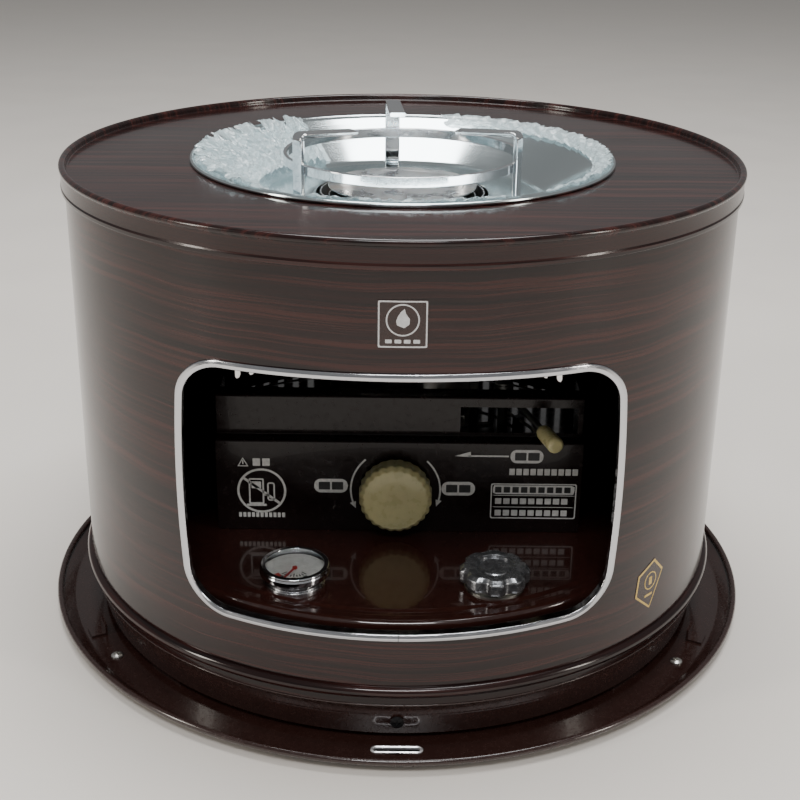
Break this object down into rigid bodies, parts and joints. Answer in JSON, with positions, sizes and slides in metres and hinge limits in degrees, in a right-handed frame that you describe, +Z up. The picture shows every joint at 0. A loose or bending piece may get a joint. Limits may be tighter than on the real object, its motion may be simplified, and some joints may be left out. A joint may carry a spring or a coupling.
{
  "type": "kerosene cooking stove",
  "caption": "Round wick-type kerosene cooking stove and heater in a wood-grain drum casing, with window, wick knob, fuel gauge, filler cap, pot support and spill tray.",
  "frame": {"origin": "centre of the spill tray's underside, on the surface it stands on", "axes": "+Z up; the control window faces -Y; +X to the right seen from the front"},
  "size_m": [0.426, 0.426, 0.2868],
  "materials": {
    "brown_enamel": "gloss dark brown enamel",
    "brown_gloss": "gloss red-brown enamel",
    "wood_print": "gloss printed dark wood grain",
    "tank_sheet": "dull tank paint",
    "steel_screw": "zinc plated",
    "black_screw": "black plated",
    "zinc_sheet": "zinc-plated sheet",
    "wick_cotton": "woven cotton and glass fibre",
    "ivory_plastic": "moulded ivory plastic",
    "brass_gear": "machined",
    "bright_trim": "bright anodised strip",
    "badge_foil": "etched foil",
    "paper_label": "coated label",
    "gold_sticker": "gold foil sticker",
    "bright_bowl": "polished",
    "chrome_strap": "plated",
    "burner_steel": "heat-resisting steel",
    "glow_ceramic": "unglazed",
    "black_plastic": "moulded",
    "dial_white": "white dial",
    "clear_lens": "clear acrylic",
    "needle_red": "red",
    "float_cork": "foam",
    "rubber_seal": "oil-proof rubber",
    "dark_cap": "dark plated",
    "cell_jacket": "plain jacket",
    "lead_insulation": "silicone sleeve"
  },
  "bodies": {
    "base": {"spill_tray": "brown_enamel", "tray_clips": "brown_enamel", "tray_screws": "steel_screw", "base_skirt": "brown_enamel", "skirt_screws": "black_screw", "tank_bottom": "tank_sheet", "tank_top": "brown_gloss", "inner_wick_tube": "zinc_sheet", "outer_wick_tube": "zinc_sheet", "collar_nuts": "steel_screw", "shaft_bracket": "zinc_sheet", "control_panel": "brown_gloss", "panel_brackets": "zinc_sheet", "outer_casing": "wood_print", "window_trim": "bright_trim", "front_badge": "badge_foil", "side_label": "paper_label", "inspection_sticker": "gold_sticker", "top_plate": "wood_print", "heat_shield": "zinc_sheet", "lever_bracket": "zinc_sheet", "gauge_housing": "black_plastic", "gauge_bezel": "chrome_strap", "gauge_dial": "dial_white", "gauge_lens": "clear_lens", "float_bracket": "zinc_sheet", "filler_neck": "zinc_sheet", "battery_case": "black_plastic", "battery_cells": "cell_jacket", "battery_contacts": "brass_gear", "door_hinge": "steel_screw", "igniter_lead": "lead_insulation", "lead_clips": "black_plastic", "quake_bracket": "zinc_sheet"},
    "wick": {"wick": "wick_cotton", "wick_carrier": "zinc_sheet"},
    "knob": {"wick_knob": "ivory_plastic", "knob_shaft": "zinc_sheet", "pinion": "brass_gear"},
    "lever": {"lever_arm": "zinc_sheet", "lever_knob": "ivory_plastic", "igniter_holder": "zinc_sheet", "glow_coil": "glow_ceramic"},
    "burner": {"burner_shell": "burner_steel", "outer_flame_tube": "burner_steel", "inner_flame_tube": "burner_steel", "burner_cross_pins": "burner_steel", "burner_top_disc": "burner_steel"},
    "bowl": {"drip_bowl": "bright_bowl"},
    "pot_support": {"pot_support_ring": "chrome_strap", "pot_support_legs": "chrome_strap"},
    "cap_seal": {"cap_seal": "rubber_seal"},
    "fuel_cap": {"fuel_cap": "dark_cap"},
    "float": {"float_arm": "brass_gear", "fuel_float": "float_cork"},
    "needle": {"gauge_needle": "needle_red"},
    "hatch": {"battery_door": "wood_print"},
    "quake_weight": {"quake_weight": "brass_gear"}
  },
  "joints": [
    {"name": "knob_turn", "type": "hinge", "parent": "base", "child": "knob", "pos_m": [-0.002, -0.08, 0.092], "axis": [0, 1, 0], "range_deg": [0, 114.59]},
    {"name": "wick_raise", "type": "slide", "parent": "base", "child": "wick", "axis": [0, 0, 1], "range_m": [0, 0.012]},
    {"name": "lever_swing", "type": "hinge", "parent": "base", "child": "lever", "pos_m": [0.062, -0.02, 0.131], "axis": [0, 0, -1], "range_deg": [0, 30]},
    {"name": "burner_lift", "type": "slide", "parent": "base", "child": "burner", "axis": [0, 0, 1], "range_m": [0, 0.006]},
    {"name": "bowl_lift", "type": "slide", "parent": "base", "child": "bowl", "axis": [0, 0, 1], "range_m": [0, 0.08]},
    {"name": "support_lift", "type": "slide", "parent": "bowl", "child": "pot_support", "axis": [0, 0, 1], "range_m": [0, 0.08]},
    {"name": "cap_lift", "type": "slide", "parent": "base", "child": "cap_seal", "axis": [0, 0, 1], "range_m": [0, 0.03]},
    {"name": "cap_turn", "type": "hinge", "parent": "cap_seal", "child": "fuel_cap", "pos_m": [0.051, -0.138, 0.073], "axis": [0, 0, 1], "range_deg": [0, 360]},
    {"name": "float_swing", "type": "hinge", "parent": "base", "child": "float", "pos_m": [-0.049, -0.137, 0.05], "axis": [0, -1, 0], "range_deg": [0, 15]},
    {"name": "needle_turn", "type": "hinge", "parent": "base", "child": "needle", "pos_m": [-0.055, -0.137, 0.073], "axis": [0, 0, 1], "range_deg": [0, 60]},
    {"name": "hatch_open", "type": "hinge", "parent": "base", "child": "hatch", "pos_m": [0, 0.1922, 0.0649], "axis": [-1, 0, 0], "range_deg": [0, 85]},
    {"name": "quake_sway", "type": "hinge", "parent": "base", "child": "quake_weight", "pos_m": [-0.092, -0.022, 0.112], "axis": [0, 1, 0], "range_deg": [-6, 6]}
  ],
  "couplings": [
    {"joint": "wick_raise", "follows": "knob_turn", "m_per_rad": 0.006},
    {"joint": "burner_lift", "follows": "lever_swing", "m_per_rad": 0.011459},
    {"joint": "needle_turn", "follows": "float_swing", "ratio": 4}
  ]
}
